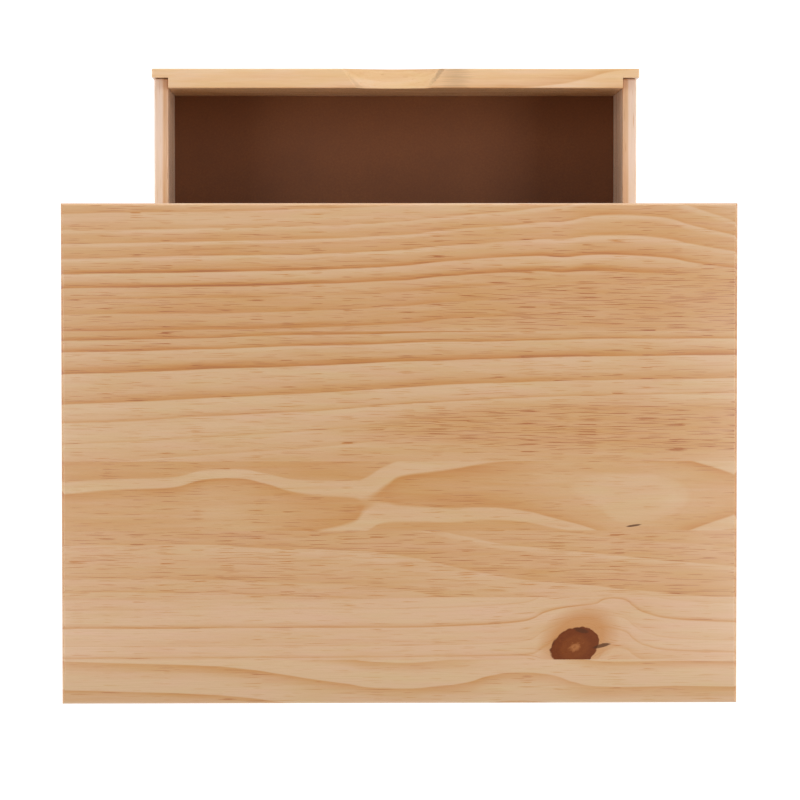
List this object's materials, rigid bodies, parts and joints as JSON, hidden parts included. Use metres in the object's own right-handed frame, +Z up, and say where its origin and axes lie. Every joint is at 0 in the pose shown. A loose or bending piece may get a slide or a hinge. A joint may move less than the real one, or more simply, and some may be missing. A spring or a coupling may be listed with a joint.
{
  "type": "wooden toy box with drawer",
  "caption": "Pine chest on corner posts with a flat hinged lid over a toy compartment and a pull-out drawer with a scooped front edge below it.",
  "frame": {"origin": "on the ground, under the middle of the object's box, with the drawer pulled out as modelled", "axes": "+Z up out of the lid's top; +X to the right as seen from the front; the front and the drawer face -Y"},
  "size_m": [0.54, 0.5246, 0.48],
  "materials": {
    "pine": "clear satin lacquer on edge-glued pine",
    "hardwood_strip": "planed and left bare",
    "plywood": "sanded plywood",
    "hardboard": "smooth-faced brown hardboard",
    "hinge_steel": "zinc-plated pressed steel",
    "fixing_steel": "zinc-plated screws and nails",
    "felt": "grey-brown pressed felt",
    "glide_nylon": "dark brown moulded nylon"
  },
  "bodies": {
    "carcass": {"back_bottom_rail": "pine", "back_panel": "hardboard", "back_top_rail": "pine", "compartment_floor": "plywood", "drawer_guide_left": "hardwood_strip", "drawer_guide_right": "hardwood_strip", "drawer_runner_left": "hardwood_strip", "drawer_runner_right": "hardwood_strip", "drawer_stop_left": "hardwood_strip", "drawer_stop_right": "hardwood_strip", "floor_cleat_front": "hardwood_strip", "floor_cleat_left": "hardwood_strip", "floor_cleat_rear": "hardwood_strip", "floor_cleat_right": "hardwood_strip", "foot_glide_front_left": "glide_nylon", "foot_glide_front_right": "glide_nylon", "foot_glide_rear_left": "glide_nylon", "foot_glide_rear_right": "glide_nylon", "front_bottom_rail": "pine", "front_panel": "pine", "hinge_body_leaf_left": "hinge_steel", "hinge_body_leaf_right": "hinge_steel", "hinge_body_screw_left_1": "fixing_steel", "hinge_body_screw_left_2": "fixing_steel", "hinge_body_screw_right_1": "fixing_steel", "hinge_body_screw_right_2": "fixing_steel", "lid_bumper_left": "felt", "lid_bumper_right": "felt", "post_front_left": "pine", "post_front_right": "pine", "post_rear_left": "pine", "post_rear_right": "pine", "side_panel_left": "pine", "side_panel_right": "pine"},
    "lid": {"hinge_lid_leaf_left": "hinge_steel", "hinge_lid_leaf_right": "hinge_steel", "hinge_lid_screw_left_1": "fixing_steel", "hinge_lid_screw_left_2": "fixing_steel", "hinge_lid_screw_right_1": "fixing_steel", "hinge_lid_screw_right_2": "fixing_steel", "hinge_pin_left": "hinge_steel", "hinge_pin_right": "hinge_steel", "lid_batten_left": "pine", "lid_batten_right": "pine", "lid_panel": "pine"},
    "drawer": {"drawer_back": "pine", "drawer_bottom": "hardboard", "drawer_catch": "hardwood_strip", "drawer_catch_screw": "fixing_steel", "drawer_front": "pine", "drawer_nail_left_lower": "fixing_steel", "drawer_nail_left_upper": "fixing_steel", "drawer_nail_right_lower": "fixing_steel", "drawer_nail_right_upper": "fixing_steel", "drawer_side_left": "pine", "drawer_side_right": "pine"}
  },
  "joints": [
    {"name": "lid_hinge", "type": "hinge", "parent": "carcass", "child": "lid", "pos_m": [0, 0.24925, 0.459], "axis": [-1, 0, 0], "range_deg": [0, 100]},
    {"name": "drawer_slide", "type": "slide", "parent": "carcass", "child": "drawer", "axis": [0, -1, 0], "range_m": [-0.1435, 0.1255]}
  ]
}
